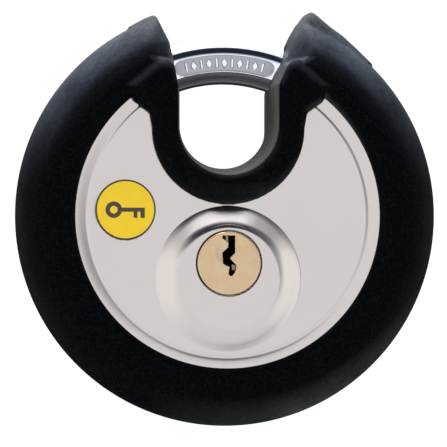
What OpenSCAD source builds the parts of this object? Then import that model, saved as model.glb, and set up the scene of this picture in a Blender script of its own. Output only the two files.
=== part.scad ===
// Disc padlock: a round steel body in a rubber bumper, with a curved shackle that the key swings aside.
// X is to the right, Y to the back and Z up. The origin is on the shackle's swing axis, halfway through.

/* [Steel body] */
// Diameter of the steel body
body_d = 71; // [70.6:0.1:71.2]
// Depth over the body's two flat faces
body_depth = 25.6; // [25.4:0.1:25.8]
// Sheet thickness of the shells
shell_t = 1; // [0.9:0.05:1.05]
// Height of the rim above the flat face
rim_rise = 0.8; // [0.6:0.1:1]
// Radius of the boss round the key
boss_r = 13.5; // [13.2:0.1:13.8]
// Height of the boss above the flat face
boss_rise = 2.5; // [2.3:0.1:2.7]
// Radius of the badge
badge_r = 5.4; // [5:0.1:6]

/* [Bumper] */
// Diameter over the rubber bumper
bumper_d = 78; // [77.6:0.1:78.4]
// Depth of the bumper's rim
bumper_depth = 30; // [29.8:0.1:30.4]
// Radius at which the bumper's rim ends on each face
window_r = 27.8; // [27.4:0.1:28.2]
// Depth over the flanges round the throat
flange_depth = 31.6; // [31.2:0.1:32]
// Thickness of the rubber that lines the throat
lining_t = 1.8; // [1.7:0.05:1.85]

/* [Throat] */
// Half the width of the throat between its straight walls
throat_r = 8.5; // [8.3:0.1:8.6]
// Height of the centre of the throat's round bottom
throat_z = 17.1; // [17:0.1:17.4]

/* [Shackle] */
// Diameter of the shackle's bar
bar_d = 9; // [8.8:0.1:9.1]
// Radius of the bar's centre line about the swing axis
bar_line_r = 29.3; // [29.2:0.05:29.4]
// Angle that the shackle swings through
swing = 49.88; // [45:0.01:49.88]

/* [Lock cylinder] */
// Radius of the plug
plug_r = 5.8; // [5.7:0.05:5.85]
// Height of the plug's axis
plug_z = -8.6; // [-8.7:0.05:-8.6]
// Radius of the pins
pin_r = 1.2; // [1.1:0.05:1.25]
// Distance from one pin to the next
pin_pitch = 2.8; // [2.7:0.05:2.8]

/* [Hidden] */
$fn = 96;

rubber = [0.07, 0.07, 0.08];
steel = [0.84, 0.82, 0.8];
zinc = [0.62, 0.63, 0.64];
brass = [0.86, 0.74, 0.5];
yellow = [0.95, 0.79, 0.1];
chrome = [0.88, 0.89, 0.92];

running = 0.05; // radial clearance of a turning fit
loose = 0.02; // radial clearance of a fixed pin
gap = 0.1; // clearance between pieces of the body
clear = 0.25; // clearance round the shackle

body_r = body_d / 2;
face_h = body_depth / 2;
rim_h = face_h + rim_rise;
shoulder_r = 7;
groove_r = 25.5;
groove_depth = 0.3;
rim_in = 26.9; // inner edge of the rim's crest

boss_z = -11.5;
boss_flat_r = 9.3; // radius of the boss's flat top
boss_h = face_h + boss_rise;
key_hole_r = plug_r + 0.35;

badge_x = -18.7;
badge_z = 1.1;
badge_proud = 0.25;
badge_t = 0.7;

bumper_r = bumper_d / 2;
bumper_h = bumper_depth / 2;
flange_h = flange_depth / 2;
edge_r = 8; // rounding of the bumper's outer edges
horn_h = bumper_h - 5.5;
liner_t = 1.15;
liner_in = lining_t + gap;
liner_out = liner_in + liner_t;

case_in = shell_t + 0.2; // how far the cases lie inside the body's outer face
case_wall = liner_out + gap;
case_front = 11.4;
rear_case_y = 6.5;
arm_y = 6.8;
arm_t = 2;
back_plate_y = 9.1;
back_plate_r = 29.2;
post_r = 2;

bar_r = bar_d / 2;
channel_r = bar_r + clear;
tail_a = 0; // angles are counter-clockwise from +X, seen from the front
tip_a = 120;
tail_flat_a = 14.5;
tail_flat_y = 3.6;
panel_half_a = 19;
panel_half_h = 1.47;
panel_in = 0.75; // how far the panel's middle lies inside the bar's centre line
panel_y = -4.15;
boss_half_h = 2;

plug_front = boss_h + 0.1;
plug_y = 4.4;
cylinder_front = 10.6;
cylinder_y = 4.3;
cylinder_r = 8.3;
bible_w = 6.4;
bible_z = 4.6;
cover_t = 0.6;
cover_w = 3.6;
cam_r = 6.4;
cam_y = 4.5;
cam_t = 1.8;
crank_throw = 4;
crank_r = 1.5;
slot_clear = 0.4;
crank_a = atan2(plug_z, crank_throw); // angle of the crank pin about the swing axis, when locked
crank_in = norm([plug_z, crank_throw]); // its nearest to the swing axis
crank_out = crank_throw - plug_z; // and its furthest

pin_count = 5;
pin_y0 = -9;
key_pin_lengths = [3.4, 4.2, 3.1, 4.4, 3.7];
key_pin_top = plug_z + plug_r - 0.2;
driver_z = plug_z + plug_r + 0.08;
driver_l = 3.1;
spring_end_z = bible_z - cover_t - 0.02;
wire_r = 0.15;
coil_r = 0.85;
coil_turns = 5;

rivet_r = 1.5;
rivets = [[-20, 11], [19, 11], [-12, -24.5], [12, -24.5]];
arm_rivet_r = 1.2;
arm_rivet_a = [3.6, 10];
screw_places = [[-3.6, 0], [0, -4.2]];

// The outer face of a shell as [radius, height], drawn in by d
function shell_face(d) = concat(
  [for (p = [[0, face_h], [groove_r - 0.2, face_h], [groove_r, face_h - groove_depth],
    [groove_r + 0.3, face_h - groove_depth], [rim_in - 0.5, rim_h - 0.2], [rim_in, rim_h]]) p - [0, d]],
  [for (a = [90:-15:0]) [body_r - shoulder_r, rim_h - shoulder_r] + (shoulder_r - d) * [cos(a), sin(a)]]);

// The boss round the key as [radius, height], lowered by d: a flat top and a rounded shoulder
function boss_face(d) = concat([[0, boss_h - d]],
  [for (p = [[0, 1], [0.09, 0.98], [0.18, 0.93], [0.3, 0.83], [0.44, 0.68], [0.68, 0.39], [1, 0]])
    [boss_flat_r + (boss_r - boss_flat_r) * p.x, face_h + boss_rise * p.y - d]]);

// The walls of the throat above its round bottom, moved t into the body: they flare towards the horns,
// from lower down on the side that the shackle draws back into
function left_wall(t) = [[-throat_r - t, throat_z], [-throat_r - t, 24.5], [-9.9 - t, 31.5], [-16.8 - t, 45]];
function right_wall(t) = [[20.4 + t, 45], [12.6 + t, 33.7], [throat_r + t, 24], [throat_r + t, throat_z]];

// Turns a profile of [radius, height towards the front] about the Y axis
module turned() {
  rotate([90, 0, 0]) rotate_extrude() children();
}

// Raises a 2D outline, seen from the front, into a solid from y0 back to y1
module between(y0, y1) {
  translate([0, y1, 0]) rotate([90, 0, 0]) linear_extrude(y1 - y0) children();
}

// A round bar along Y
module rod(r, y0, y1) {
  between(y0, y1) circle(r);
}

// Both halves of something that is the same at the front and the back
module both_sides() {
  children();
  mirror([0, 1, 0]) children();
}

// A curved slab about the swing axis
module arc_slab(r0, r1, a0, a1, y0, y1) {
  rotate([90, 0, 0]) rotate_extrude(angle = a1 - a0, start = a0)
    translate([r0, -y1]) square([r1 - r0, y1 - y0]);
}

// A curved round bar about the swing axis
module arc_bar(r, a0, a1) {
  rotate([90, 0, 0]) rotate_extrude(angle = a1 - a0, start = a0) translate([bar_line_r, 0]) circle(r);
}

module at_plug() {
  translate([0, 0, plug_z]) children();
}

module at_each(places) {
  for (p = places) translate([p.x, 0, p.y]) children();
}

module at_pin(i) {
  translate([0, pin_y0 + (i - 1) * pin_pitch, 0]) children();
}

// The throat's open space, moved t into the body all round
module throat_space(t) {
  translate([0, 0, throat_z]) rod(throat_r + t, -20, 20);
  between(-20, 20) polygon(concat(left_wall(t), right_wall(t)));
}

// The front half of the body's envelope, drawn in by d
module half_body(d) {
  turned() polygon(concat([[0, 0]], shell_face(d), [[body_r - d, 0]]));
}

module boss(d) {
  translate([0, 0, boss_z]) turned() polygon(concat([[0, face_h - 4]], boss_face(d), [[boss_r, face_h - 4]]));
}

// The shackle's channel from its locked tip to its open tail
module channel() {
  arc_bar(channel_r, tail_a - swing - 3, tip_a + 3);
}

module cylinder_outline(g) {
  translate([0, plug_z]) circle(cylinder_r + g);
  translate([-bible_w / 2 - g, plug_z]) square([bible_w + 2 * g, bible_z + g - plug_z]);
}

// The rim of the bumper, from its window to its rounded outer edges
module bumper_rim() {
  half = concat([[window_r, 0], [window_r, bumper_h - 0.3], [window_r + 0.3, bumper_h]],
    [for (a = [90:-15:0]) [bumper_r - edge_r, bumper_h - edge_r] + edge_r * [cos(a), sin(a)]],
    [[bumper_r, 0]]);
  turned() polygon(concat(half, [for (i = [len(half) - 2:-1:1]) [half[i].x, -half[i].y]]));
}

module horns() {
  between(-horn_h, horn_h) {
    polygon([[-17.8, 34.9], [-13, 37.3], [-9, 33], [-12, 29]]);
    polygon([[27, 28.6], [20.5, 34.6], [15.5, 38.3], [12, 33], [14, 28]]);
  }
}

// The raised flange that runs round the throat, with a square tab at each end
module flange() {
  between(-flange_h, flange_h) {
    translate([0, 15.9]) circle(13.9);
    polygon([[-13.9, 15.9], [-14.4, 18.7], [-17.2, 20.7], [-18.8, 23.7], [-13, 28.5],
      [13, 28.5], [18.8, 23.7], [17.2, 20.7], [14.4, 18.7], [13.9, 15.9]]);
  }
}

module bumper() color(rubber) difference() {
  union() {
    bumper_rim();
    horns();
    flange();
  }
  difference() {
    both_sides() half_body(-0.05);
    throat_space(lining_t);
  }
  throat_space(0);
  channel();
}

module shell() {
  difference() {
    half_body(0);
    half_body(shell_t);
    throat_space(liner_in);
  }
}

module front_shell() color(steel) difference() {
  union() {
    half_body(0);
    boss(0);
  }
  half_body(shell_t);
  boss(shell_t * 1.2);
  throat_space(liner_in);
  at_plug() rod(key_hole_r, -20, -10);
  translate([badge_x, 0, badge_z]) rod(badge_r + loose, -20, badge_t - badge_proud - face_h + loose);
}

module rear_shell() color(steel) mirror([0, 1, 0]) shell();

module throat_liner() color(steel) difference() {
  intersection() {
    both_sides() half_body(shell_t + 0.05);
    throat_space(liner_out);
  }
  throat_space(liner_in);
  channel();
}

// What the rivets, the cylinder and the throat take out of both cases
module case_cuts() {
  throat_space(case_wall);
  channel();
  at_each(rivets) rod(rivet_r + loose, -20, 20);
}

module front_case() color(zinc) difference() {
  intersection() {
    half_body(case_in);
    rod(body_r, -case_front, -gap / 2);
  }
  case_cuts();
  between(-20, 1) cylinder_outline(gap);
}

module rear_case() color(zinc) difference() {
  union() {
    intersection() {
      mirror([0, 1, 0]) half_body(case_in);
      rod(body_r, gap / 2, rear_case_y);
    }
    at_each(rivets) rod(rivet_r + 1.3, rear_case_y - 1, back_plate_y - gap / 2);
  }
  case_cuts();
  between(-1, cylinder_y + gap) cylinder_outline(gap);
  at_plug() rod(cam_r + 0.2, cylinder_y, rear_case_y + 1);
  arc_slab(bar_line_r - boss_half_h - 0.5, bar_line_r + boss_half_h + 0.5,
    tail_a - swing - 2, tail_flat_a + 2, 1, rear_case_y + 1);
}

module back_plate() color(zinc) difference() {
  rod(back_plate_r, back_plate_y, case_front);
  throat_space(case_wall);
  at_each(rivets) rod(rivet_r + loose, 0, 20);
  rod(post_r + loose, 0, 20);
}

module case_rivets() color(zinc) at_each(rivets) rod(rivet_r, -case_front, case_front);

module anti_drill_plate() color(zinc) at_plug() difference() {
  rod(cylinder_r, -12.8, -cylinder_front - gap);
  rod(plug_r + 0.15, -20, 0);
}

module badge() color(yellow) translate([badge_x, 0, badge_z])
  rod(badge_r, -face_h - badge_proud, badge_t - badge_proud - face_h);

module pin_chambers(r, z0) {
  for (i = [1:pin_count]) at_pin(i) translate([0, 0, z0]) cylinder(h = 20, r = r);
}

module cover_strip(g) {
  translate([-cover_w / 2 - g, -cylinder_front + 0.6 - g, bible_z - cover_t])
    cube([cover_w + 2 * g, cylinder_front + cylinder_y - 1.2 + 2 * g, cover_t + g]);
}

module cylinder_body() color(brass) difference() {
  between(-cylinder_front, cylinder_y) cylinder_outline(0);
  at_plug() rod(plug_r + running, -20, 20);
  pin_chambers(pin_r + running, plug_z);
  cover_strip(loose);
}

module spring_cover() color(brass) cover_strip(0);

// The keyway, seen from the front and measured from the plug's axis: a straight slot above a warded foot
module keyway() {
  polygon([[-1.2, 5], [1.1, 5], [1.1, 1.9], [0.1, 0.9], [1.3, -0.4], [1.2, -1.3], [0.6, -2.3], [0.2, -2.3],
    [-0.1, -1.9], [0.1, -0.6], [-0.6, -0.4], [-1.1, 0], [-1.2, 1.9], [-0.2, 2.8], [-0.1, 3.6], [-0.6, 4.1],
    [-1.2, 4.5]]);
}

module plug() color(brass) difference() {
  at_plug() rod(plug_r, -plug_front, plug_y);
  at_plug() between(-20, 20) keyway();
  pin_chambers(pin_r + running, plug_z - 0.4);
  at_plug() at_each(screw_places) rod(0.9 + loose, 0, 20);
}

module cam() color(zinc) at_plug() difference() {
  rod(cam_r, cam_y, cam_y + cam_t);
  translate([crank_throw, 0, 0]) rod(crank_r + loose, 0, 20);
  at_each(screw_places) {
    rod(0.9 + loose, 0, 20);
    rod(1.5 + loose, cam_y + 0.8 - loose, 20);
  }
}

module cam_screws() color(zinc) at_plug() at_each(screw_places) {
  rod(0.9, 0.5, cam_y + 1);
  rod(1.5, cam_y + 0.8, cam_y + cam_t);
}

module crank_pin() color(steel) translate([crank_throw, 0, plug_z])
  rod(crank_r, cam_y, arm_y + arm_t);

module pivot_post() color(steel) rod(post_r, rear_case_y + gap, case_front);

module shackle() color(chrome) difference() {
  arc_bar(bar_r, tail_a, tip_a);
  arc_slab(bar_line_r - 6, bar_line_r + 6, tail_a - 1, tail_flat_a, tail_flat_y, 6);
  for (a = arm_rivet_a) rotate([0, -a, 0]) translate([bar_line_r, 0, 0]) rod(arm_rivet_r + loose, 0.6, 20);
  arc_slab(bar_line_r - panel_in - panel_half_h, bar_line_r - panel_in + panel_half_h,
    90 - panel_half_a, 90 + panel_half_a, -6, panel_y);
}

module drive_arm() color(zinc) difference() {
  union() {
    between(arm_y, arm_y + arm_t) {
      circle(4.2);
      translate([0, -3.2]) square([bar_line_r - 2.5, 6.4]);
      rotate(crank_a) translate([0, -3.6]) square([crank_out, 7.2]);
      rotate(crank_a) translate([crank_out, 0]) circle(3.6);
    }
    arc_slab(bar_line_r - 3.3, bar_line_r + 2.9, tail_a - 1, tail_flat_a - 0.5, arm_y, arm_y + arm_t);
    arc_slab(bar_line_r - boss_half_h, bar_line_r + boss_half_h, tail_a + 0.6, tail_flat_a - 1, tail_flat_y + 0.02,
      arm_y + 1);
  }
  rod(post_r + running, 0, 20);
  for (a = arm_rivet_a) rotate([0, -a, 0]) translate([bar_line_r, 0, 0]) rod(arm_rivet_r + loose, 0, 20);
  between(0, 20) rotate(crank_a) {
    translate([crank_in, 0]) circle(crank_r + slot_clear);
    translate([crank_in, -crank_r - slot_clear]) square([crank_out - crank_in, 2 * (crank_r + slot_clear)]);
    translate([crank_out, 0]) circle(crank_r + slot_clear);
  }
}

module arm_rivets() color(steel) for (a = arm_rivet_a)
  rotate([0, -a, 0]) translate([bar_line_r, 0, 0]) rod(arm_rivet_r, 0.8, arm_y + arm_t);

module key_pin(i) color(brass) at_pin(i) translate([0, 0, key_pin_top - key_pin_lengths[i - 1]])
  rotate_extrude() polygon([[0, 0], [0.4, 0], [pin_r, 0.8], [pin_r, key_pin_lengths[i - 1]],
    [0, key_pin_lengths[i - 1]]]);

module driver_pin(i) color(steel) at_pin(i) translate([0, 0, driver_z])
  rotate_extrude() polygon([[0, 0], [pin_r - 0.1, 0], [pin_r, 0.1], [pin_r, driver_l - 0.2],
    [pin_r - 0.2, driver_l], [0, driver_l]]);

// A round wire swept up a helix, as rings of points joined into one closed skin
module pin_spring(i) color(steel) at_pin(i) {
  sides = 8;
  steps = 14 * coil_turns;
  z0 = driver_z + driver_l + wire_r + 0.02;
  rise = spring_end_z - wire_r - z0;
  rings = [for (s = [0:steps]) let (a = 360 * coil_turns * s / steps) [for (k = [0:sides - 1])
    let (b = 360 * k / sides, r = coil_r + wire_r * cos(b))
    [r * cos(a), r * sin(a), z0 + rise * s / steps + wire_r * sin(b)]]];
  skin = [for (s = [0:steps - 1], k = [0:sides - 1]) let (n = (k + 1) % sides)
    [s * sides + k, s * sides + n, (s + 1) * sides + n, (s + 1) * sides + k]];
  polyhedron([for (ring = rings) each ring],
    concat([[for (k = [0:sides - 1]) sides - 1 - k]], [[for (k = [0:sides - 1]) steps * sides + k]], skin));
}

bumper();
front_shell();
rear_shell();
throat_liner();
front_case();
rear_case();
back_plate();
case_rivets();
anti_drill_plate();
badge();
cylinder_body();
spring_cover();
plug();
cam();
cam_screws();
crank_pin();
pivot_post();
shackle();
drive_arm();
arm_rivets();
for (i = [1:pin_count]) {
  key_pin(i);
  driver_pin(i);
  pin_spring(i);
}
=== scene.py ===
"""Disc padlock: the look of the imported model, built over its frame.

Shapes are worked out in millimetres, with X to the right, Y to the back and Z up, about the shackle's
swing axis, and put into the scene in metres. Round and moulded pieces are skins of signed distance
fields, and pressed ones are turned profiles.
"""
import math

import bmesh
import bpy
import numpy as np
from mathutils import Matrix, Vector
from mathutils.geometry import tessellate_polygon

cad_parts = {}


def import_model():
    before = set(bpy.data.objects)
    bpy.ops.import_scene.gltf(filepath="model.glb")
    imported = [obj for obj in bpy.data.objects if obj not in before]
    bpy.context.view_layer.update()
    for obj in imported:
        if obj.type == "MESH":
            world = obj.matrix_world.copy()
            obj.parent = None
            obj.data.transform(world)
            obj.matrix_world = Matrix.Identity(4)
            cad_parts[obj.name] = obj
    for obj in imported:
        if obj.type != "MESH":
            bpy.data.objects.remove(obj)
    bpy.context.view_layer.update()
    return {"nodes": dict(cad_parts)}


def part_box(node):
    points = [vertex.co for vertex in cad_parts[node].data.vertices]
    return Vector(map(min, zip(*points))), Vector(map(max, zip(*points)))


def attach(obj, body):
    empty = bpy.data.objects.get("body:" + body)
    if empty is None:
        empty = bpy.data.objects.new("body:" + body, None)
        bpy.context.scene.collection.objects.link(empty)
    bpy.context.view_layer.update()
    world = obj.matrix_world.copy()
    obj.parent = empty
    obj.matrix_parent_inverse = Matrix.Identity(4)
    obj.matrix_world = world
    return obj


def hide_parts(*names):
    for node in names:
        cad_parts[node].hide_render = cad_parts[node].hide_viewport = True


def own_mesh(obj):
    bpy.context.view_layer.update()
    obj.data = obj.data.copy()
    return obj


MM = 0.001

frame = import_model()
nodes = frame["nodes"]


def extent(node):
    """Lowest and highest corner of a CAD node, in millimetres."""
    low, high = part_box(node)
    return np.array(low) / MM, np.array(high) / MM


# ---------------------------------------------------------------- sizes, in millimetres

# A name ends in _R for a radius, _H for a distance from mid-depth towards a face, _T for a thickness,
# _A for an angle in degrees about the swing axis, _U for a distance outwards from the shackle's centre
# line, and _X, _Y or _Z for a place in the frame. A node's lowest and highest corners are LOW and HIGH.

BUMPER_LOW, BUMPER_HIGH = extent("bumper")
BUMPER_R = BUMPER_HIGH[0]
FLANGE_H = BUMPER_HIGH[1]
BUMPER_H = FLANGE_H - 0.8
WINDOW_R = 27.8
EDGE_R = 8

BODY_R, BEAD_H, _ = extent("rear_shell")[1]
FACE_H = BEAD_H - 0.8
CREST_H = FACE_H + 0.36
SHELL_T = 1.0
SHOULDER_R = 7.0
GROOVE_R = 25.5
RIM_IN_R = 26.9

BOSS_Z = -11.5
BOSS_R = 13.5
BOSS_H = FACE_H + 2.5
BOSS_FLAT_R = 9.1

THROAT_Z = 17.1
THROAT_R = 8.17
LINER_R = 10.4

BAR_R = 4.5
BAR_LINE_R = 29.3
CHANNEL_R = 4.72
CHANNEL_SPARE_A = 3
SWING_A = 49.88
TIP_A = 120
TAIL_FLAT_A = 14.5
TAIL_FLAT_Y = 3.6
ARM_RIVET_A = (3.6, 10)
ARM_RIVET_R = 1.22
ARM_RIVET_Y = 0.6
PANEL_HALF = 8.13
PANEL_R = 1.47
PANEL_Y = -4.15
PANEL_U = -0.75

PLUG_LOW, PLUG_HIGH = extent("plug")
PLUG_R = PLUG_HIGH[0]
PLUG_Z = (PLUG_LOW[2] + PLUG_HIGH[2]) / 2
PLUG_Y = PLUG_LOW[1]
PLUG_BACK_Y = PLUG_HIGH[1]
KEY_HOLE_R = PLUG_R + 0.25
PINS = range(1, 6)
PIN_R = 1.25
PIN_Y = [sum(extent(f"key_pin_{i}"))[1] / 2 for i in PINS]

BADGE_LOW, BADGE_HIGH = extent("badge")
BADGE_X = (BADGE_LOW[0] + BADGE_HIGH[0]) / 2
BADGE_Z = (BADGE_LOW[2] + BADGE_HIGH[2]) / 2
BADGE_R = (BADGE_HIGH[0] - BADGE_LOW[0]) / 2
BADGE_H = -BADGE_LOW[1]
BADGE_BACK_H = -BADGE_HIGH[1]


# ---------------------------------------------------------------- fields: signed distances, negative inside

def join(a, b, r):
    """Either of two solids, with a fillet of radius r where they meet."""
    return np.maximum(r, np.minimum(a, b)) - np.hypot(np.maximum(r - a, 0), np.maximum(r - b, 0))


def meet(a, b, r):
    """What two solids share, with its edge rounded to radius r."""
    return -join(-a, -b, r)


def cut(a, b, r):
    """Solid a without solid b, with the cut's edge rounded to radius r."""
    return meet(a, -b, r)


def outline(x, z, points):
    """A closed outline, seen from the front."""
    nearest = np.inf
    inside = False
    for (ax, az), (bx, bz) in zip(points, points[1:] + points[:1]):
        ex, ez = bx - ax, bz - az
        along = np.clip(((x - ax) * ex + (z - az) * ez) / (ex * ex + ez * ez), 0, 1)
        nearest = np.minimum(nearest, (x - ax - along * ex) ** 2 + (z - az - along * ez) ** 2)
        if ez:
            inside = inside ^ (((az > z) != (bz > z)) & (x < ax + ex * (z - az) / ez))
    return np.where(inside, -1, 1) * np.sqrt(nearest)


def capsule(u, y, half, r):
    """A slot of half length half along u, with round ends of radius r."""
    return np.hypot(u - np.clip(u, -half, half), y) - r


CORNERS = [(i, j, k) for i in (0, 1) for j in (0, 1) for k in (0, 1)]


def crossing_points(values, axes):
    """A point in each grid cell that the surface crosses, at the mean of the crossings on the cell's edges,
    and the number of each cell's point."""
    size = [n - 1 for n in values.shape]
    filled = sum((values < 0)[i:i + size[0], j:j + size[1], k:k + size[2]].astype(np.int8)
                 for i, j, k in CORNERS)
    cells = np.argwhere((filled > 0) & (filled < len(CORNERS)))
    number = np.full(size, -1)
    number[tuple(cells.T)] = np.arange(len(cells))

    total = np.zeros((len(cells), 3))
    count = np.zeros((len(cells), 1))
    for a in CORNERS:
        for axis in range(3):
            if a[axis]:
                continue
            b = tuple(int(n == axis) or a[n] for n in range(3))
            ia, ib = cells + a, cells + b
            va, vb = values[tuple(ia.T)], values[tuple(ib.T)]
            crossed = ((va < 0) != (vb < 0))[:, None]
            share = np.where(crossed[:, 0], va / np.where(crossed[:, 0], va - vb, 1), 0)[:, None]
            pa = np.stack([axes[n][ia[:, n]] for n in range(3)], 1)
            pb = np.stack([axes[n][ib[:, n]] for n in range(3)], 1)
            total += np.where(crossed, pa + share * (pb - pa), 0)
            count += crossed
    return total / count, number


def crossing_quads(solid, number):
    """A quad facing outwards across each grid edge that the surface crosses, as its points' numbers."""
    quads = []
    for axis in range(3):
        u, v = (axis + 1) % 3, (axis + 2) % 3
        ahead = np.roll(solid, -1, axis)
        trim = [slice(1, -1)] * 3
        trim[axis] = slice(0, -1)
        start = np.argwhere((solid != ahead)[tuple(trim)]) + [int(n != axis) for n in range(3)]
        back_u, back_v = np.zeros(3, int), np.zeros(3, int)
        back_u[u] = back_v[v] = 1
        faces = np.stack([number[tuple((start - back).T)]
                          for back in (0, back_u, back_u + back_v, back_v)], 1)
        outward = solid[tuple(start.T)]
        faces[~outward] = faces[~outward][:, ::-1]
        quads.append(faces)
    return np.concatenate(quads)


GRADIENT_STEP = 0.004
SETTLING_ROUNDS = 3
LONGEST_MOVE = 0.15
LEAST_SQUARED_SLOPE = 0.2


def gradient(field, points):
    """The field's slope along each axis at the points."""
    steps = GRADIENT_STEP * np.eye(3)
    rises = [field(*(points + step).T) - field(*(points - step).T) for step in steps]
    return np.stack(rises, 1) / (2 * GRADIENT_STEP)


def skin(name, field, xs, ys, zs, place=None):
    """A smooth mesh object on the surface of a field, worked out on a grid and settled on the surface along
    its slope. place, if given, moves the points and their normals afterwards."""
    values = np.broadcast_to(field(xs[:, None, None], ys[None, :, None], zs[None, None, :]),
                             (len(xs), len(ys), len(zs)))
    points, number = crossing_points(values, (xs, ys, zs))
    quads = crossing_quads(values < 0, number)
    for _ in range(SETTLING_ROUNDS):
        slope = gradient(field, points)
        squared = np.maximum((slope ** 2).sum(1), LEAST_SQUARED_SLOPE)
        move = (-field(*points.T) / squared)[:, None] * slope
        points = points + np.clip(move, -LONGEST_MOVE, LONGEST_MOVE)
    normals = gradient(field, points)
    normals /= np.maximum(np.linalg.norm(normals, axis=1), 1e-6)[:, None]
    if place:
        points, normals = place(points, normals)

    mesh = bpy.data.meshes.new(name)
    mesh.from_pydata((points * MM).tolist(), [], quads.tolist())
    mesh.polygons.foreach_set("use_smooth", np.ones(len(quads), bool))
    mesh.normals_split_custom_set_from_vertices(normals.tolist())
    return add(name, mesh)


def add(name, data):
    """A new object in the scene."""
    made = bpy.data.objects.new(name, data)
    bpy.context.scene.collection.objects.link(made)
    return made


def spaced(*run):
    """Grid positions along a run of places with the step between each and the next: place, step, place."""
    places, steps = run[::2], run[1::2]
    parts = [np.linspace(a, b, max(2, round((b - a) / step) + 1))[:-1]
             for a, b, step in zip(places, places[1:], steps)]
    return np.concatenate([*parts, [places[-1]]])


# ---------------------------------------------------------------- materials

class Surface:
    """A procedural material in the making: a Principled shader and the nodes that feed it."""

    def __init__(self, name, **sockets):
        self.material = bpy.data.materials.new(name)
        self.material.use_nodes = True
        self.tree = self.material.node_tree
        self.shader = self.tree.nodes["Principled BSDF"]
        self.place = self.node("ShaderNodeTexCoord").outputs["Object"]
        for socket, value in sockets.items():
            self.shader.inputs[socket.replace("_", " ")].default_value = value

    def node(self, kind, inputs=None, **settings):
        """A new node, with its inputs linked or set and its settings made."""
        made = self.tree.nodes.new(kind)
        for key, value in settings.items():
            setattr(made, key, value)
        for key, value in (inputs or {}).items():
            if isinstance(value, bpy.types.NodeSocket):
                self.tree.links.new(value, made.inputs[key])
            else:
                made.inputs[key].default_value = value
        return made

    def math(self, operation, a, b=0.0, c=0.0):
        """One value from up to three."""
        return self.node("ShaderNodeMath", {0: a, 1: b, 2: c}, operation=operation).outputs[0]

    def product(self, first, *others):
        """All the values multiplied."""
        for other in others:
            first = self.math("MULTIPLY", first, other)
        return first

    def moved(self, offset=(0, 0, 0), scale=(1, 1, 1)):
        """The place on the object, shifted and stretched."""
        inputs = {"Vector": self.place, "Location": offset, "Scale": scale}
        return self.node("ShaderNodeMapping", inputs).outputs[0]

    def noise(self, size, detail, vector=None):
        """Cloudy noise from 0 to 1, with features of a size in millimetres."""
        inputs = {"Vector": vector or self.place, "Scale": 1 / (size * MM), "Detail": detail,
                  "Roughness": 0.55}
        return self.node("ShaderNodeTexNoise", inputs).outputs[0]

    def span(self, value, a, b, low=0.0, high=1.0):
        """low where the value is a, high where it is b, and straight between them."""
        return self.node("ShaderNodeMapRange", {0: value, 1: a, 2: b, 3: low, 4: high}).outputs[0]

    def ramp(self, length, a, b, low=0.0, high=1.0):
        """span for a length, with a and b in millimetres."""
        return self.span(length, a * MM, b * MM, low, high)

    def axis(self, name):
        """The place on the object along X, Y or Z."""
        return self.node("ShaderNodeSeparateXYZ", {0: self.place}).outputs[name]

    def off(self, name):
        """The distance to either side along X, Y or Z."""
        return self.math("ABSOLUTE", self.axis(name))

    def radius(self, x, z):
        """The distance from an axis along Y through x, z in millimetres."""
        across = self.moved((-x * MM, 0, -z * MM), (1, 0, 1))
        return self.node("ShaderNodeVectorMath", {0: across}, operation="LENGTH").outputs["Value"]

    def blend(self, share, a, b):
        """Colour a turning to colour b as share goes from 0 to 1."""
        mix = self.node("ShaderNodeMix", {"Factor": share}, data_type="RGBA")
        for socket, value in ((mix.inputs[6], a), (mix.inputs[7], b)):
            if isinstance(value, bpy.types.NodeSocket):
                self.tree.links.new(value, socket)
            else:
                socket.default_value = (*value, 1)
        return mix.outputs[2]

    def feed(self, **links):
        """Links values to the shader's sockets."""
        for socket, value in links.items():
            self.tree.links.new(value, self.shader.inputs[socket.replace("_", " ")])

    def bump(self, *layers):
        """Stacks bumps, each a height from 0 to 1 and its depth in millimetres."""
        normal = None
        for height, depth in layers:
            inputs = {"Height": height, "Strength": 1.0, "Distance": depth * MM}
            if normal:
                inputs["Normal"] = normal
            normal = self.node("ShaderNodeBump", inputs).outputs[0]
        self.feed(Normal=normal)


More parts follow.
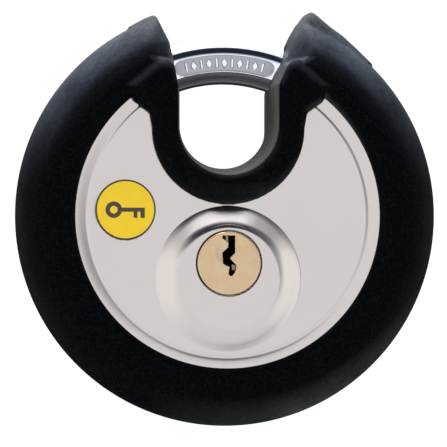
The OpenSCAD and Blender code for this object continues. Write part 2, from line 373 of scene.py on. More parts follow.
def rubber_material():
    """Moulded black rubber with a blue cast and a fine grain, lightened by painted light from above where
    it faces up and by painted light from below where it faces down to the right, dusty at the horns' tips,
    and worn grey inside the throat."""
    s = Surface("black_rubber", Specular_IOR_Level=0.025, Sheen_Weight=0.015, Sheen_Roughness=0.4,
                Sheen_Tint=(0.6, 0.7, 1, 1))
    patches = s.noise(7, 5)
    mottle = s.noise(0.9, 3)
    uneven = s.span(s.math("ADD", patches, s.math("MULTIPLY", mottle, 0.6)), 0.5, 1.05, 0.3, 1.0)
    normal = s.node("ShaderNodeTexCoord").outputs["Normal"]
    up = s.node("ShaderNodeSeparateXYZ", {0: normal}).outputs["Z"]

    base = s.blend(s.span(s.noise(0.45, 2), 0.45, 0.72), (0.0006, 0.0009, 0.0014), (0.0034, 0.0043, 0.006))
    # Painted light from below: faces that look down are lightened towards the right, in blotches.
    painted_light_below = s.product(s.span(up, -0.3, -0.95), s.ramp(s.axis("X"), -15, 20), uneven)
    base = s.blend(painted_light_below, base, (0.05, 0.06, 0.054))
    # Painted light from above: faces that look up, higher on the rubber, are lightened to a bluish grey,
    # less so on the flange's raised top.
    painted_top_light = s.product(s.span(up, 0.05, 0.75), s.ramp(s.axis("Z"), 4, 30),
                      s.ramp(s.off("Y"), 13.8, 14.6, 1.0, 0.3), uneven)
    base = s.blend(painted_top_light, base, (0.11, 0.13, 0.17))
    tips = s.product(s.ramp(s.axis("Z"), 31, 38.5), uneven)
    base = s.blend(tips, base, (0.16, 0.165, 0.175))

    within = s.ramp(s.off("Y"), 14.8, 13.5)
    bottom = s.ramp(s.radius(0, THROAT_Z), 10.5, 9.3)
    walls = s.product(s.ramp(s.off("X"), 11.2, 9.8), s.ramp(s.axis("Z"), 16, 19))
    worn = s.product(s.math("MAXIMUM", bottom, walls), within, uneven)
    base = s.blend(worn, base, (0.15, 0.143, 0.132))
    s.feed(Base_Color=base, Roughness=s.span(patches, 0.3, 0.7, 0.45, 0.6))
    s.bump((s.noise(1.8, 3), 0.06), (s.noise(0.35, 2), 0.02))
    return s.material


def satin_material():
    """Stainless sheet with a fine satin grain."""
    s = Surface("satin_stainless", Metallic=1.0)
    grain = s.noise(0.16, 2, vector=s.moved(scale=(0.12, 1, 1)))
    fine = s.noise(0.09, 1)
    cloud = s.noise(14, 3)
    tint = s.blend(cloud, (0.61, 0.555, 0.525), (0.65, 0.61, 0.585))
    s.feed(Base_Color=s.blend(s.math("MULTIPLY", grain, 0.2), tint, (0.52, 0.50, 0.49)),
           Roughness=s.span(s.math("ADD", grain, s.math("MULTIPLY", cloud, 0.5)), 0.4, 1.1, 0.15, 0.22))
    s.bump((grain, 0.003), (fine, 0.0015))
    return s.material


def chrome_material():
    """Bright plating with faint handling marks."""
    s = Surface("chrome_plate", Metallic=1.0)
    marks = s.span(s.noise(0.22, 2, vector=s.moved(scale=(0.08, 1, 1))), 0.6, 0.75)
    haze = s.noise(3.5, 3)
    s.feed(Base_Color=s.blend(haze, (0.80, 0.83, 0.88), (0.88, 0.9, 0.93)),
           Roughness=s.span(s.math("ADD", haze, s.math("MULTIPLY", marks, 0.5)), 0.3, 1.2, 0.03, 0.1))
    s.bump((s.noise(1.6, 2), 0.003), (marks, 0.001))
    return s.material


# Where painted shade behind the plug's front starts and where it is full, in millimetres.
SHADE_FROM = 0.35
SHADE_FULL = 1.3


def turned_material(name, dark, light, z, pitch, depth=0.006, shade_y=None):
    """Metal turned on a lathe about an axis along Y, with fine rings of a pitch and depth in its end
    faces, and with painted shade from a little behind shade_y, standing in for the dark inside the keyway."""
    s = Surface(name, Metallic=1.0)
    wobble = s.math("MULTIPLY", s.noise(1.2, 2), 0.4)
    turns = s.math("ADD", s.math("MULTIPLY", s.radius(0, z), 1 / (pitch * MM)), wobble)
    rings = s.math("MULTIPLY_ADD", s.math("SINE", s.math("MULTIPLY", turns, 2 * math.pi)), 0.5, 0.5)
    stain = s.noise(2.6, 4)
    base = s.blend(s.math("MULTIPLY_ADD", stain, 0.8, s.math("MULTIPLY", rings, 0.15)), dark, light)
    # Painted shade: the metal turns near black from a little behind the front, for the shade deep in the
    # keyway.
    if shade_y is not None:
        painted_shade = s.ramp(s.axis("Y"), shade_y + SHADE_FROM, shade_y + SHADE_FULL)
        base = s.blend(painted_shade, base, (0.012, 0.008, 0.004))
    s.feed(Base_Color=base, Roughness=s.span(rings, 0, 1, 0.2, 0.34))
    s.bump((rings, depth), (s.noise(0.12, 2), 0.002))
    return s.material


def stamped_material():
    """The shackle's sunk panel, frosted by the stamp."""
    s = Surface("stamped_panel", Metallic=1.0)
    frost = s.noise(0.3, 3)
    s.feed(Base_Color=s.blend(frost, (0.36, 0.37, 0.40), (0.52, 0.53, 0.56)),
           Roughness=s.span(frost, 0.3, 0.7, 0.3, 0.42))
    s.bump((frost, 0.015))
    return s.material


def cast_material():
    """Die-cast zinc, grey and slightly uneven."""
    s = Surface("cast_zinc", Metallic=1.0)
    cloud = s.noise(5, 4)
    pores = s.span(s.noise(0.5, 2), 0.62, 0.72)
    s.feed(Base_Color=s.blend(cloud, (0.40, 0.41, 0.42), (0.56, 0.56, 0.57)),
           Roughness=s.span(cloud, 0.3, 0.7, 0.42, 0.6))
    s.bump((s.noise(1.2, 3), 0.03), (pores, -0.02))
    return s.material


def enamel_material():
    """Glossy yellow enamel, slightly uneven in depth."""
    s = Surface("yellow_enamel", Coat_Weight=0.2, Coat_Roughness=0.1, Specular_IOR_Level=0.25)
    cloud = s.noise(2.4, 3)
    s.feed(Base_Color=s.blend(cloud, (0.92, 0.60, 0.008), (1.0, 0.71, 0.02)),
           Roughness=s.span(cloud, 0.3, 0.7, 0.28, 0.4))
    s.bump((s.noise(0.8, 2), 0.006))
    return s.material


def dark_enamel_material():
    """The badge's dark brown outline and device."""
    s = Surface("dark_enamel", Coat_Weight=0.4, Coat_Roughness=0.12)
    cloud = s.noise(0.9, 3)
    s.feed(Base_Color=s.blend(cloud, (0.022, 0.012, 0.006), (0.05, 0.03, 0.015)),
           Roughness=s.span(cloud, 0.3, 0.7, 0.35, 0.5))
    s.bump((s.noise(0.3, 2), 0.006))
    return s.material


rubber = rubber_material()
frosted = stamped_material()
satin = satin_material()
chrome = chrome_material()
zinc = cast_material()
enamel = enamel_material()
dark_enamel = dark_enamel_material()
plug_brass = turned_material("turned_brass", (0.60, 0.41, 0.225), (0.72, 0.56, 0.37), PLUG_Z, 0.42,
                             depth=0.02, shade_y=PLUG_Y)
inner_brass = turned_material("plain_brass", (0.55, 0.38, 0.14), (0.74, 0.54, 0.25), PLUG_Z, 0.4)
post_steel = turned_material("turned_steel", (0.42, 0.42, 0.43), (0.60, 0.60, 0.61), 0, 0.3)
bright_steel = turned_material("bright_steel", (0.55, 0.55, 0.57), (0.74, 0.74, 0.75), PLUG_Z, 0.5)

CARRIED_OVER = {
    zinc: ["front_case", "rear_case", "back_plate", "drive_arm", "cam"],
    post_steel: ["pivot_post", "crank_pin", "case_rivets", "arm_rivets", "cam_screws", "anti_drill_plate"],
    satin: ["throat_liner"],
    inner_brass: ["cylinder_body", "spring_cover", *(f"key_pin_{i}" for i in PINS)],
    bright_steel: [f"driver_pin_{i}" for i in PINS],
}
for material, names in CARRIED_OVER.items():
    for node in names:
        mesh = nodes[node].data
        mesh.materials.clear()
        mesh.materials.append(material)


def finish_piece(piece, material, body, slot, *replaced):
    """Gives a piece its material, its body and the CAD nodes it stands for."""
    piece.data.materials.append(material)
    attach(piece, body)
    if replaced:
        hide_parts(*replaced)


# ---------------------------------------------------------------- the throat and the bumper

# The throat at mid-depth. For each millimetre towards a face it opens by DRAFT on every side and its
# bottom sinks by SAG. From FLARE_Z up it also flares beyond FLARE_H, and the lining thickens there.
THROAT_WALLS = [(-THROAT_R, THROAT_Z), (-THROAT_R, 24), (-9.05, 27.9), (-9.35, 30), (-9.97, 32.3),
                (-12.4, 37.1), (-16.5, 45), (19, 45), (14.5, 37.3), (12.4, 33.7), (THROAT_R, 24.2),
                (THROAT_R, THROAT_Z)]
DRAFT = 0.071
SAG = 0.033
FLARE = 0.09
FLARE_H = 8.5
FLARE_Z = 26
FLARE_RISE = 3
LINING_T = 2.13
TOP_LINING_T = LINING_T + 0.9

SEAM_HEIGHT = 0.12
SEAM_SPREAD = 0.3
LEFT_HORN = [(-17.8, 34.6), (-15.5, 35.9), (-13.2, 36.9), (-12.6, 36.9), (-9, 33), (-12, 29)]
RIGHT_HORN = [(27, 28.1), (23.9, 31.1), (21.6, 33.2), (19.2, 34.9), (16.6, 37.1), (15.5, 37.8),
              (14.6, 37), (12, 33), (14, 28)]
HORN_SWELL = 0.3
HORN_H = 10

# The flange, a round band with a tab to each side, is full above FLANGE_FULL_Z. Down to FLANGE_LOW_Z its
# top comes to lean by LOW_LEAN, from LEAN_WIDTH within its outline, and its edge's rounding shrinks.
TAB = [(-13.9, 15.9), (-14.4, 18.7), (-17.2, 20.7), (-18.8, 23.7), (-13, 28.5), (13, 28.5), (18.8, 23.7),
       (17.2, 20.7), (14.4, 18.7), (13.9, 15.9)]
FLANGE_Z = 15.9
FLANGE_R = 13.9
FLANGE_LOW_Z = 4
FLANGE_FULL_Z = 12
LOW_LEAN = 0.45
LEAN_WIDTH = 4
LOW_EDGE_R = 0.9
FULL_EDGE_R = 2.0


def throat_field(x, y, z):
    """The throat's open space, which widens and sinks from the middle towards the two faces."""
    bottom = np.hypot(x, z + SAG * np.abs(y) - THROAT_Z) - THROAT_R
    return np.minimum(bottom, outline(x, z, THROAT_WALLS)) - DRAFT * np.abs(y)


def rim_field(x, y, z, flare):
    """The bumper's rim with its seam and horns, cut by the window and the throat."""
    radius, depth = np.hypot(x, z), np.abs(y)
    seam = SEAM_HEIGHT * np.exp(-(y / SEAM_SPREAD) ** 2)
    rim = meet(radius - BUMPER_R + SEAM_HEIGHT - seam, depth - BUMPER_H, EDGE_R)
    horns = np.minimum(outline(x, z, LEFT_HORN), outline(x, z, RIGHT_HORN)) - HORN_SWELL
    rim = join(rim, meet(horns, depth - HORN_H, 2.5), 0.4)
    rim = cut(rim, radius - WINDOW_R, 1.4)
    return cut(rim, throat_field(x, y, z) - flare, 0.8)


def flange_field(x, y, z):
    """The raised flange round the throat."""
    band = np.minimum(np.hypot(x, z - FLANGE_Z) - FLANGE_R, outline(x, z, TAB))
    heights = [FLANGE_LOW_Z, FLANGE_FULL_Z]
    lean = np.interp(z, heights, [LOW_LEAN, 0]) * np.maximum(band + LEAN_WIDTH, 0)
    edge = np.interp(z, heights, [LOW_EDGE_R, FULL_EDGE_R])
    return cut(meet(band, np.abs(y) - FLANGE_H + lean, edge), throat_field(x, y, z), 1.2)


def channel_field(x, y, z):
    """The shackle's channel, from beyond its tip to beyond its drawn-back tail."""
    bar = np.hypot(np.hypot(x, z) - BAR_LINE_R, y) - CHANNEL_R
    tip = math.radians(TIP_A + CHANNEL_SPARE_A)
    tail = math.radians(-SWING_A - CHANNEL_SPARE_A)
    past_tip = z * math.cos(tip) - x * math.sin(tip)
    past_tail = x * math.sin(tail) - z * math.cos(tail)
    return np.maximum(bar, np.maximum(past_tip, past_tail))


def bumper_field(x, y, z):
    """The bumper, hollow for the body but for the throat's lining, which follows the throat's flare."""
    radius, depth = np.hypot(x, z), np.abs(y)
    upper = np.clip((z - FLARE_Z) / FLARE_RISE, 0, 1)
    flare = FLARE * np.maximum(depth - FLARE_H, 0) ** 2 * upper
    solid = join(rim_field(x, y, z, flare), flange_field(x, y, z), 0.35)

    body = meet(radius - BODY_R, depth - CREST_H, SHOULDER_R) - 0.04
    lining = np.minimum(np.hypot(x, z - THROAT_Z) - THROAT_R, outline(x, z, THROAT_WALLS) - flare)
    lining = lining - LINING_T - (TOP_LINING_T - LINING_T) * upper
    solid = np.maximum(solid, -np.maximum(body, -lining))
    return cut(solid, channel_field(x, y, z), 0.25)


bumper = skin("rubber_bumper", bumper_field,
              spaced(-BUMPER_R - 1.2, 0.55, BUMPER_R + 1.2),
              spaced(-FLANGE_H - 0.9, 0.5, -0.75, 0.25, 0.75, 0.5, FLANGE_H + 0.9),
              spaced(BUMPER_LOW[2] - 1.2, 0.55, BUMPER_HIGH[2] + 1.2))
finish_piece(bumper, rubber, "lock_body", "rubber", "bumper")


# ---------------------------------------------------------------- the pressed shells

def ring(bm, x, z, radius, height, count):
    """A loop of vertices about an axis along Y, at a height towards the front."""
    turn = [2 * math.pi * i / count for i in range(count)]
    return [bm.verts.new(((x + radius * math.cos(a)) * MM, -height * MM, (z + radius * math.sin(a)) * MM))
            for a in turn]


def joined(bm, rings, closed=True):
    """Faces between each ring of vertices and the next."""
    for inner, outer in zip(rings, rings[1:]):
        sides = len(inner) if closed else len(inner) - 1
        for i in range(sides):
            n = (i + 1) % len(inner)
            bm.faces.new((inner[i], inner[n], outer[n], outer[i]))


def turned(bm, x, z, profile, count):
    """Rings through a profile of (radius, height), joined by faces; gives the rings."""
    rings = [ring(bm, x, z, r, h, count) for r, h in profile]
    joined(bm, rings)
    return rings


def flat(bm, *loops):
    """A flat face within the first loop and outside the others."""
    corners = [v for loop in loops for v in loop]
    for tri in tessellate_polygon([[v.co for v in loop] for loop in loops]):
        bm.faces.new([corners[i] for i in tri])


def between_points(a, b, c, d, t):
    """A Catmull-Rom curve's place between b and c, with t from 0 to 1."""
    square = 2 * a - 5 * b + 4 * c - d
    cube = 3 * b - a - 3 * c + d
    return 0.5 * (2 * b + (c - a) * t + square * t * t + cube * t ** 3)


def eased(points, steps):
    """A smooth run of points through the given ones, with steps points from each to the next."""
    ends = [points[0], *points, points[-1]]
    made = [tuple(between_points(*axis, step / steps) for axis in zip(*four))
            for four in zip(ends, ends[1:], ends[2:], ends[3:])
            for step in range(steps)]
    return made + [points[-1]]


def applied(piece):
    """Replaces a piece's mesh by what its modifiers make of it."""
    bpy.context.view_layer.update()
    done = bpy.data.meshes.new_from_object(piece.evaluated_get(bpy.context.evaluated_depsgraph_get()))
    piece.modifiers.clear()
    piece.data = done


def smooth_piece(name, bm):
    """A smooth piece with its sharp edges kept."""
    bmesh.ops.recalc_face_normals(bm, faces=bm.faces)
    mesh = bpy.data.meshes.new(name)
    bm.to_mesh(mesh)
    mesh.polygons.foreach_set("use_smooth", [True] * len(mesh.polygons))
    mesh.set_sharp_from_angle(angle=math.radians(50))
    return add(name, mesh)


# The shells end beside the throat along these lines, under the rubber.
LEFT_END = [(-LINER_R, THROAT_Z), (-LINER_R, 24.5), (-13.2, 28.5), (-15.4, 31.5), (-21, 45)]
RIGHT_END = [(LINER_R, THROAT_Z), (LINER_R, 24), (13.4, 27.5), (17.8, 33.7), (25, 45)]

# The bead round the face, from a shallow groove out to its crest, as (radius, height).
BEAD = [(GROOVE_R - 0.25, FACE_H), (GROOVE_R - 0.1, FACE_H - 0.02), (GROOVE_R + 0.28, FACE_H - 0.15),
        (GROOVE_R + 0.48, FACE_H - 0.15), (RIM_IN_R - 0.4, CREST_H - 0.34),
        (RIM_IN_R + 0.3, CREST_H - 0.16), (RIM_IN_R + 1.0, CREST_H - 0.03)]

# How steep the boss is at each radius; its height is scaled to BOSS_H.
BOSS_FOOT_R = BOSS_R - 0.05
BOSS_SLOPES = [(BOSS_FLAT_R, 0), (9.35, 0.33), (10.5, 0.6), (10.8, 0.68), (12.1, 0.66),
               (BOSS_R - 0.25, 0.5), (BOSS_FOOT_R, 0)]

KEY_HOLE_LIP = [(KEY_HOLE_R + 0.1, BOSS_H), (KEY_HOLE_R + 0.03, BOSS_H - 0.03), (KEY_HOLE_R, BOSS_H - 0.12),
                (KEY_HOLE_R, BOSS_H - 1)]
SEAT_H = FACE_H - 0.5
BADGE_SEAT = [(BADGE_R + 0.3, FACE_H), (BADGE_R + 0.1, FACE_H - 0.08), (BADGE_R + 0.06, SEAT_H + 0.08),
              (BADGE_R - 0.3, SEAT_H), (0.2, SEAT_H)]


def boss_profile():
    """The boss from its foot in to its flat top, as (radius, height)."""
    radius = np.linspace(BOSS_FOOT_R, BOSS_FLAT_R, 57)
    slope = np.interp(radius, *zip(*BOSS_SLOPES))
    climb = np.concatenate([[0], np.cumsum(-np.diff(radius) * (slope[1:] + slope[:-1]) / 2)])
    return list(zip(radius, FACE_H + (BOSS_H - FACE_H) * climb / climb[-1]))


def polar(points):
    """Radii and angles, in radians, of points along a line that leads away from the swing axis."""
    dense = np.concatenate([np.linspace(a, b, 40) for a, b in zip(points, points[1:])])
    return np.hypot(*dense.T), np.arctan2(dense[:, 1], dense[:, 0])


def open_ring(bm, radius, height, count):
    """A loop of vertices about the swing axis from the throat's left wall round to its right wall."""
    start = np.interp(radius, *polar(LEFT_END))
    end = np.interp(radius, *polar(RIGHT_END)) + 2 * math.pi
    return [bm.verts.new((radius * math.cos(a) * MM, -height * MM, radius * math.sin(a) * MM))
            for a in np.linspace(start, end, count)]


def throat_edge(bm):
    """A loop of vertices round the throat's bottom in the face, from right to left."""
    return [bm.verts.new((LINER_R * math.cos(a) * MM, -FACE_H * MM,
                          (THROAT_Z + LINER_R * math.sin(a)) * MM))
            for a in np.linspace(0, -math.pi, 49)]


def face_features(bm):
    """The front shell's boss with its key hole, and the badge's seat; gives their loops in the face."""
    boss = turned(bm, 0, BOSS_Z, boss_profile(), 160)
    key_hole = turned(bm, 0, PLUG_Z, eased(KEY_HOLE_LIP, 3), 112)
    flat(bm, boss[-1], key_hole[0])
    seat = turned(bm, BADGE_X, BADGE_Z, BADGE_SEAT, 96)
    bm.faces.new(seat[-1])
    return [boss[0], seat[0]]


def shell(name, front):
    """A pressed shell, open at the throat, with its features if it is the front one."""
    bm = bmesh.new()
    shoulder = [(BODY_R - SHOULDER_R * (1 - math.cos(a)), CREST_H - SHOULDER_R * (1 - math.sin(a)))
                for a in np.linspace(math.pi / 2, 0, 15)]
    profile = eased(BEAD, 4) + shoulder + [(BODY_R, 0.05)]
    rings = [open_ring(bm, radius, height, 224) for radius, height in profile]
    joined(bm, rings, closed=False)
    bottom = throat_edge(bm)
    holes = face_features(bm) if front else []
    flat(bm, rings[0] + bottom, *holes)
    bmesh.ops.recalc_face_normals(bm, faces=bm.faces)
    if sum(f.normal.y * f.calc_area() for f in bm.faces) > 0:
        bmesh.ops.reverse_faces(bm, faces=bm.faces)
    if not front:
        bmesh.ops.scale(bm, vec=(1, -1, 1), verts=bm.verts)
        bmesh.ops.reverse_faces(bm, faces=bm.faces)
    mesh = bpy.data.meshes.new(name)
    bm.to_mesh(mesh)
    piece = add(name, mesh)
    sheet = piece.modifiers.new("Sheet", "SOLIDIFY")
    sheet.thickness = SHELL_T * MM
    sheet.offset = -1
    applied(piece)
    piece.data.polygons.foreach_set("use_smooth", [True] * len(piece.data.polygons))
    piece.data.set_sharp_from_angle(angle=math.radians(40))
    even = piece.modifiers.new("Normals", "WEIGHTED_NORMAL")
    even.weight = 100
    even.keep_sharp = True
    applied(piece)
    return piece


finish_piece(shell("front_pressing", True), satin, "lock_body", "steel", "front_shell")
finish_piece(shell("rear_pressing", False), satin, "lock_body", "steel", "rear_shell")


# ---------------------------------------------------------------- the shackle

def along_bar(angle):
    """The length along the bar's centre line to an angle in degrees."""
    return math.radians(angle) * BAR_LINE_R


BAR_LENGTH = along_bar(TIP_A)
PANEL_MID = along_bar(90)
MARKS = 11
MARK_HALF = 0.7
MARK_R = 0.22
LOZENGE_HALF = 0.6
LOZENGE_SLANT = 0.62
MARK_Y = PANEL_Y + 0.3
MARK_HALF_DEPTH = 0.52


def panel_field(along, across):
    """The sunk panel's outline, from its middle."""
    return capsule(along, across, PANEL_HALF, PANEL_R)


def raised_marks(along, across):
    """The panel's raised pattern: upright bars and lozenges in turn."""
    marks = np.inf
    pitch = 2 * PANEL_HALF / MARKS
    for i in range(MARKS):
        place = along - (i - (MARKS - 1) / 2) * pitch
        if i % 2:
            mark = (np.abs(place) + LOZENGE_SLANT * np.abs(across) - LOZENGE_HALF) * 0.85
        else:
            mark = capsule(across, place, MARK_HALF, MARK_R)
        marks = np.minimum(marks, mark)
    return marks


def bar_field(u, y, s):
    """The straightened shackle: u outwards, and s along its line from the tail."""
    bar = meet(np.hypot(u, y) - BAR_R, np.abs(s - BAR_LENGTH / 2) - BAR_LENGTH / 2, 0.6)
    bar = cut(bar, np.maximum(s - along_bar(TAIL_FLAT_A), TAIL_FLAT_Y - y), 0.15)
    for angle in ARM_RIVET_A:
        hole = np.maximum(np.hypot(s - along_bar(angle), u) - ARM_RIVET_R, ARM_RIVET_Y - y)
        bar = cut(bar, hole, 0.1)
    along = s - PANEL_MID
    across = u - PANEL_U
    bar = cut(bar, np.maximum(panel_field(along, across), y - PANEL_Y), 0.08)
    marks = meet(raised_marks(along, across), np.abs(y - MARK_Y) - MARK_HALF_DEPTH, 0.08)
    return np.minimum(bar, np.maximum(marks, np.hypot(u, y) - BAR_R + 0.03))


def bent(points, normals):
    """Bends the straight bar round the swing axis."""
    angle = points[:, 2] / BAR_LINE_R
    radius = BAR_LINE_R + points[:, 0]
    cos, sin = np.cos(angle), np.sin(angle)
    place = np.stack([radius * cos, points[:, 1], radius * sin], 1)
    normal = np.stack([normals[:, 0] * cos - normals[:, 2] * sin, normals[:, 1],
                       normals[:, 0] * sin + normals[:, 2] * cos], 1)
    return place, normal


panel_end = PANEL_HALF + PANEL_R + 0.4
shackle = skin("shackle_bar", bar_field,
               spaced(-BAR_R - 0.4, 0.3, -1.8, 0.13, 1.8, 0.3, BAR_R + 0.4),
               spaced(-BAR_R - 0.5, 0.12, -BAR_R + 0.8, 0.3, BAR_R + 0.5),
               spaced(-0.8, 0.5, PANEL_MID - panel_end, 0.13, PANEL_MID + panel_end, 0.5, BAR_LENGTH + 0.8),
               bent)
finish_piece(shackle, chrome, "shackle", "chrome", "shackle")
shackle.data.materials.append(frosted)
for face in shackle.data.polygons:
    x, y, z = face.center / MM
    sunk = panel_field(math.atan2(x, z) * BAR_LINE_R, math.hypot(x, z) - BAR_LINE_R - PANEL_U)
    face.material_index = int(sunk < 0.02 and PANEL_Y - 0.06 < y < 0)


# ---------------------------------------------------------------- the plug

KEYWAY = [(-1.2, 5), (1.1, 5), (1.1, 1.9), (0.1, 0.9), (1.3, -0.4), (1.2, -1.3), (0.6, -2.3),
          (0.2, -2.3), (-0.1, -1.9), (0.1, -0.6), (-0.6, -0.4), (-1.1, 0), (-1.2, 1.9), (-0.2, 2.8),
          (-0.1, 3.6), (-0.6, 4.1), (-1.2, 4.5)]
WARD = [(0.45, -0.2), (1.35, -0.3), (1.35, -1.2), (0.55, -1.5)]
WARD_Y = PLUG_Y + 0.9
PIN_BORE_Z = -0.4
SCREWS = [(-3.6, 0), (0, -4.2)]
SCREW_R = 0.92
# The front is part of a large sphere's hollow, DISH_R about DISH_AT.
DISH_R = 12.68
DISH_AT = (0.1, PLUG_Y - 12.4, 2.2)


def plug_field(x, y, z):
    """The plug with its slightly dished front, its keyway and one ward, its pins' bores and the cam's screw
    holes. KEYWAY, WARD, SCREWS, PIN_BORE_Z and DISH_AT are about the plug's own axis."""
    z = z - PLUG_Z
    body = meet(meet(np.hypot(x, z) - PLUG_R, PLUG_Y - y, 0.35), y - PLUG_BACK_Y, 0.2)
    dish_x, dish_y, dish_z = DISH_AT
    dish = np.hypot(np.hypot(x - dish_x, z - dish_z), y - dish_y) - DISH_R
    body = cut(body, dish, 0.05)
    ward = np.maximum(outline(x, z, WARD), WARD_Y - y)
    body = cut(body, np.maximum(outline(x, z, KEYWAY), -ward), 0.07)
    for pin_y in PIN_Y:
        bore = np.maximum(np.hypot(x, y - pin_y) - PIN_R, PIN_BORE_Z - z)
        body = np.maximum(body, -bore)
    for screw_x, screw_z in SCREWS:
        hole = np.maximum(np.hypot(x - screw_x, z - screw_z) - SCREW_R, -y)
        body = np.maximum(body, -hole)
    return body


plug = skin("key_plug", plug_field,
            spaced(-PLUG_R - 0.3, 0.13, PLUG_R + 0.3),
            spaced(PLUG_Y - 0.3, 0.1, PLUG_Y + 0.7, 0.35, PLUG_BACK_Y + 0.5),
            spaced(PLUG_LOW[2] - 0.3, 0.13, PLUG_HIGH[2] + 0.3))
finish_piece(plug, plug_brass, "plug", "brass", "plug")


# ---------------------------------------------------------------- the pin springs

WIRE_R = 0.15
WIRE_SIDES = 12
SPRING_TURNS = 5
STEPS_PER_TURN = 32


def pin_spring(i):
    """A coil spring of round wire over driver pin i."""
    low, high = extent(f"pin_spring_{i}")
    coil_r = (high[0] - low[0]) / 2 - WIRE_R
    centre_y = (low[1] + high[1]) / 2
    first, last = low[2] + WIRE_R, high[2] - WIRE_R
    steps = STEPS_PER_TURN * SPRING_TURNS
    bm = bmesh.new()
    loops = []
    for step in range(steps + 1):
        share = step / steps
        turn = 2 * math.pi * SPRING_TURNS * share
        z = first + (last - first) * share
        loop = []
        for side in range(WIRE_SIDES):
            around = 2 * math.pi * side / WIRE_SIDES
            out = coil_r + WIRE_R * math.cos(around)
            loop.append(bm.verts.new((out * math.cos(turn) * MM, (centre_y + out * math.sin(turn)) * MM,
                                      (z + WIRE_R * math.sin(around)) * MM)))
        loops.append(loop)
    joined(bm, loops)
    for end in (loops[0], loops[-1]):
        bm.faces.new(end)
    wire = smooth_piece(f"spring_wire_{i}", bm)
    finish_piece(wire, bright_steel, "lock_body", "hard_steel", f"pin_spring_{i}")
    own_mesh(wire)


for i in PINS:
    pin_spring(i)


# ---------------------------------------------------------------- the badge

ENAMEL_R = BADGE_R - 0.2
CROWN = 0.16

# The key on the badge, from the badge's middle: its bow, its stem and its two bits as (place, half width).
BOW_X = -2.15
BOW_R = 1.1
BOW_HALF_WIDTH = 0.4
STEM_X = 1.15
STEM_HALF = 2.35
STEM_HALF_WIDTH = 0.38
BITS = [(3.1, 0.4), (1.8, 0.34)]
BIT_LENGTH = 1.5
KEY_PROUD = 0.035
KEY_DEPTH = 0.12


def dome(radius):
    """The enamel's height at a distance from the badge's middle."""
    return BADGE_H - 0.02 - CROWN * (radius / ENAMEL_R) ** 2


def badge_disc():
    """The badge's crowned disc of enamel."""
    bm = bmesh.new()
    profile = [(0.15, dome(0.15)), *((r, dome(r)) for r in np.linspace(0.6, ENAMEL_R, 12)),
               (ENAMEL_R + 0.03, dome(ENAMEL_R) - 0.12)]
    rings = turned(bm, BADGE_X, BADGE_Z, profile, 96)
    bm.faces.new(rings[0])
    bm.faces.new(ring(bm, BADGE_X, BADGE_Z, ENAMEL_R, BADGE_BACK_H + 0.2, 96))
    return smooth_piece("badge_enamel", bm)


def badge_rim():
    """The badge's dark edge, a little proud of the enamel."""
    bm = bmesh.new()
    height = dome(ENAMEL_R)
    profile = [(ENAMEL_R - 0.1, BADGE_BACK_H), (ENAMEL_R - 0.02, height - 0.1),
               (ENAMEL_R + 0.05, height + 0.03), (ENAMEL_R + 0.12, height + 0.05),
               (BADGE_R - 0.03, height - 0.04), (BADGE_R, BADGE_BACK_H)]
    turned(bm, BADGE_X, BADGE_Z, eased(profile, 4), 96)
    return smooth_piece("badge_edge", bm)


def key_field(x, y, z):
    """The badge's device, a plain key lying on the enamel."""
    x, z = x - BADGE_X, z - BADGE_Z
    bow = np.abs(np.hypot(x - BOW_X, z) - BOW_R) - BOW_HALF_WIDTH
    stem = np.maximum(np.abs(x - STEM_X) - STEM_HALF, np.abs(z) - STEM_HALF_WIDTH)
    bits = np.inf
    for bit_x, half in BITS:
        bits = np.minimum(bits, np.abs(x - bit_x) - half)
    bits = np.maximum(bits, np.abs(z + BIT_LENGTH / 2) - BIT_LENGTH / 2)
    mark = np.minimum(bow, np.minimum(stem, bits))
    front = dome(np.hypot(x, z)) + KEY_PROUD
    return meet(mark, np.maximum(-front - y, y + front - KEY_DEPTH), 0.03)


finish_piece(badge_disc(), enamel, "lock_body", "enamel", "badge")
finish_piece(badge_rim(), dark_enamel, "lock_body", "enamel")
key_device = skin("badge_device", key_field,
                  spaced(BADGE_X - 4, 0.08, BADGE_X + 3.9),
                  spaced(-BADGE_H - 0.08, 0.04, -BADGE_H + 0.4),
                  spaced(BADGE_Z - 1.9, 0.08, BADGE_Z + 1.9))
finish_piece(key_device, dark_enamel, "lock_body", "enamel")


# ---------------------------------------------------------------- camera, light and floor

def aim(thing, place, target):
    """Puts a camera or light at a place, looking at a target."""
    thing.location = place
    thing.rotation_euler = (Vector(target) - Vector(place)).to_track_quat("-Z", "Y").to_euler()


def camera():
    """The photograph's view, level and slightly from the left."""
    azimuth = math.radians(-4.3)
    distance = 0.3867
    target = Vector((0.00012, 0, -0.00141))
    data = bpy.data.cameras.new("camera")
    data.sensor_width = 36
    data.lens = 165
    data.clip_start = 0.01
    made = add("camera", data)
    aim(made, target + distance * Vector((math.sin(azimuth), -math.cos(azimuth), 0)), target)
    bpy.context.scene.camera = made


def softbox(name, place, width, height, power):
    """A white rectangular light that points at the padlock."""
    data = bpy.data.lights.new(name, "AREA")
    data.shape = "RECTANGLE"
    data.size = width
    data.size_y = height
    data.energy = power
    aim(add(name, data), place, (0, 0, 0))


STUDIO_WHITE = (0.97, 0.985, 1.02)
STUDIO_DARK = (0.016, 0.021, 0.04, 1)
# The studio's brightness at angles up from straight in front of the padlock, in degrees; 0 is dark.
STUDIO = [(-180, 0), (-98, 0), (-84, 1.05), (-32, 1.05), (-20, 1.08), (26, 1.08), (35, 0), (60, 0),
          (66, 1.6), (156, 1.55), (166, 0)]


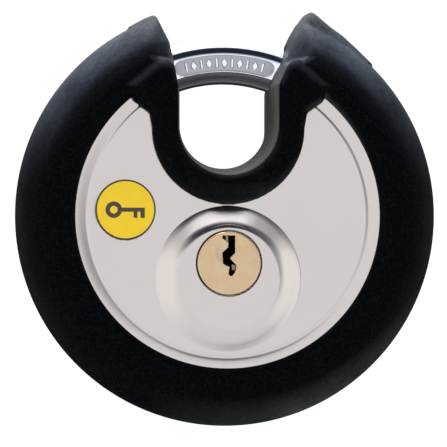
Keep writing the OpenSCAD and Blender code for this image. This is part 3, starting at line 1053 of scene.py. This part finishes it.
def world():
    """The studio as the padlock reflects it: white below, in front and overhead, with a dark gap high in
    front and a dark back. Its far left and far right are white too, with a shaded strip before the far
    right. The camera sees plain white."""
    made = bpy.data.worlds.new("studio")
    bpy.context.scene.world = made
    made.use_nodes = True
    tree = made.node_tree
    tree.nodes.clear()

    def node(kind, inputs, **settings):
        """The outputs of a new node, with its inputs linked or set and its settings made."""
        new = tree.nodes.new(kind)
        for key, value in settings.items():
            setattr(new, key, value)
        for key, value in inputs.items():
            if isinstance(value, bpy.types.NodeSocket):
                tree.links.new(value, new.inputs[key])
            else:
                new.inputs[key].default_value = value
        return new.outputs

    def math_node(operation, a, b=0.0, c=0.0):
        return node("ShaderNodeMath", {0: a, 1: b, 2: c}, operation=operation)[0]

    def share(value, none, full, most=1.0):
        return node("ShaderNodeMapRange", {0: value, 1: none, 2: full, 3: 0.0, 4: most})[0]

    def mixed(factor, a, colour):
        return node("ShaderNodeMix", {"Factor": factor, 6: a, 7: (*colour, 1)}, data_type="RGBA")[2]

    x, y, z = node("ShaderNodeSeparateXYZ", {0: node("ShaderNodeTexCoord", {})["Generated"]})
    tilt = math_node("ARCTAN2", z, math_node("MULTIPLY", y, -1.0))
    ramp = tree.nodes.new("ShaderNodeValToRGB")
    tree.links.new(math_node("MULTIPLY_ADD", tilt, 0.5 / math.pi, 0.5), ramp.inputs[0])
    ends = ramp.color_ramp.elements
    while len(ends) < len(STUDIO):
        ends.new(0.5)
    for end, (angle, level) in zip(ends, STUDIO):
        end.position = angle / 360 + 0.5
        end.color = (*(level * part for part in STUDIO_WHITE), 1) if level else STUDIO_DARK
    around = mixed(share(x, -0.5, -0.85), ramp.outputs[0], (1.2, 1.2, 1.2))
    around = mixed(share(x, 0.6, 0.9), around, (1.25, 1.25, 1.25))
    shade = math_node("MULTIPLY", share(x, 0.3, 0.5, 0.65), share(x, 0.9, 0.75))
    shade = math_node("MULTIPLY", shade, share(z, -0.35, 0.1))
    around = mixed(shade, around, (0.2, 0.21, 0.23))
    studio = node("ShaderNodeBackground", {0: around, 1: 1.0})[0]
    backdrop = node("ShaderNodeBackground", {0: (1, 1, 1, 1), 1: 1.05})[0]
    seen = node("ShaderNodeLightPath", {})["Is Camera Ray"]
    node("ShaderNodeOutputWorld", {0: node("ShaderNodeMixShader", {0: seen, 1: studio, 2: backdrop})[0]})


FLOOR_R = 0.45
FLOOR_Z = -0.11


def floor():
    """A pale round floor well below the padlock, which hangs by its shackle; nothing shiny reflects it."""
    bm = bmesh.new()
    bmesh.ops.create_circle(bm, cap_ends=True, segments=96, radius=FLOOR_R)
    mesh = bpy.data.meshes.new("floor")
    bm.to_mesh(mesh)
    made = add("floor", mesh)
    made.location.z = FLOOR_Z
    s = Surface("pale_floor", Roughness=0.7)
    s.feed(Base_Color=s.blend(s.noise(60, 3), (0.80, 0.80, 0.80), (0.84, 0.84, 0.84)))
    mesh.materials.append(s.material)
    made.visible_glossy = False


camera()
world()
floor()
softbox("key_light", (-0.1, 0.1, 0.7), 0.5, 0.4, 3)
bpy.context.scene.view_settings.view_transform = "Standard"
